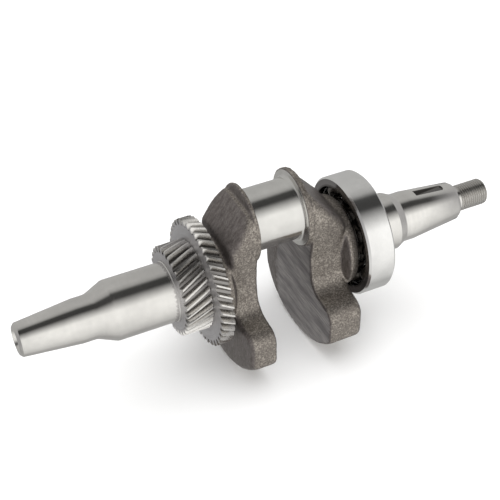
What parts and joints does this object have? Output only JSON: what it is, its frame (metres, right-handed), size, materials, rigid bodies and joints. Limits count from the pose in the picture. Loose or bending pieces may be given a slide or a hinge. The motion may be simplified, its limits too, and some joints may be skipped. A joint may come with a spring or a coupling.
{
  "type": "crankshaft",
  "caption": "Forged single-throw engine crankshaft with tapered ends, helical timing and balancer gears and a ball bearing.",
  "frame": {"origin": "centre of the ball bearing on the main axis", "axes": "+X along the main axis towards the flywheel end, +Z towards the crankpin"},
  "size_m": [0.2966, 0.088, 0.1126],
  "materials": {
    "forged_steel": "forged, with ground journals",
    "gear_steel": "hobbed",
    "bearing_steel": "ground",
    "cage_steel": "pressed sheet",
    "ball_steel": "polished"
  },
  "bodies": {
    "crankshaft": {"crankshaft": "forged_steel", "timing_gear": "gear_steel", "balancer_gear": "gear_steel", "bearing_inner_ring": "bearing_steel"},
    "outer_ring": {"bearing_outer_ring": "bearing_steel"},
    "cage": {"cage_half_left": "cage_steel", "cage_half_right": "cage_steel", "cage_rivets": "cage_steel"},
    "ball_1": {"ball_1": "ball_steel"},
    "ball_2": {"ball_2": "ball_steel"},
    "ball_3": {"ball_3": "ball_steel"},
    "ball_4": {"ball_4": "ball_steel"},
    "ball_5": {"ball_5": "ball_steel"},
    "ball_6": {"ball_6": "ball_steel"},
    "ball_7": {"ball_7": "ball_steel"},
    "ball_8": {"ball_8": "ball_steel"},
    "ball_9": {"ball_9": "ball_steel"}
  },
  "joints": [
    {"name": "outer_ring_spin", "type": "hinge", "parent": "crankshaft", "child": "outer_ring", "pos_m": [0, 0, 0], "axis": [1, 0, 0], "continuous": true},
    {"name": "cage_spin", "type": "hinge", "parent": "crankshaft", "child": "cage", "pos_m": [0, 0, 0], "axis": [1, 0, 0], "continuous": true},
    {"name": "ball_1_spin", "type": "hinge", "parent": "cage", "child": "ball_1", "pos_m": [0, 0, 0.02675], "axis": [1, 0, 0], "continuous": true},
    {"name": "ball_2_spin", "type": "hinge", "parent": "cage", "child": "ball_2", "pos_m": [0, -0.01719, 0.02049], "axis": [1, 0, 0], "continuous": true},
    {"name": "ball_3_spin", "type": "hinge", "parent": "cage", "child": "ball_3", "pos_m": [0, -0.02634, 0.00464], "axis": [1, 0, 0], "continuous": true},
    {"name": "ball_4_spin", "type": "hinge", "parent": "cage", "child": "ball_4", "pos_m": [0, -0.02317, -0.01337], "axis": [1, 0, 0], "continuous": true},
    {"name": "ball_5_spin", "type": "hinge", "parent": "cage", "child": "ball_5", "pos_m": [0, -0.00915, -0.02514], "axis": [1, 0, 0], "continuous": true},
    {"name": "ball_6_spin", "type": "hinge", "parent": "cage", "child": "ball_6", "pos_m": [0, 0.00915, -0.02514], "axis": [1, 0, 0], "continuous": true},
    {"name": "ball_7_spin", "type": "hinge", "parent": "cage", "child": "ball_7", "pos_m": [0, 0.02317, -0.01337], "axis": [1, 0, 0], "continuous": true},
    {"name": "ball_8_spin", "type": "hinge", "parent": "cage", "child": "ball_8", "pos_m": [0, 0.02634, 0.00464], "axis": [1, 0, 0], "continuous": true},
    {"name": "ball_9_spin", "type": "hinge", "parent": "cage", "child": "ball_9", "pos_m": [0, 0.01719, 0.02049], "axis": [1, 0, 0], "continuous": true}
  ],
  "couplings": [
    {"joint": "cage_spin", "follows": "outer_ring_spin", "ratio": 0.6028},
    {"joint": "ball_1_spin", "follows": "outer_ring_spin", "ratio": 2.329},
    {"joint": "ball_2_spin", "follows": "outer_ring_spin", "ratio": 2.329},
    {"joint": "ball_3_spin", "follows": "outer_ring_spin", "ratio": 2.329},
    {"joint": "ball_4_spin", "follows": "outer_ring_spin", "ratio": 2.329},
    {"joint": "ball_5_spin", "follows": "outer_ring_spin", "ratio": 2.329},
    {"joint": "ball_6_spin", "follows": "outer_ring_spin", "ratio": 2.329},
    {"joint": "ball_7_spin", "follows": "outer_ring_spin", "ratio": 2.329},
    {"joint": "ball_8_spin", "follows": "outer_ring_spin", "ratio": 2.329},
    {"joint": "ball_9_spin", "follows": "outer_ring_spin", "ratio": 2.329}
  ]
}
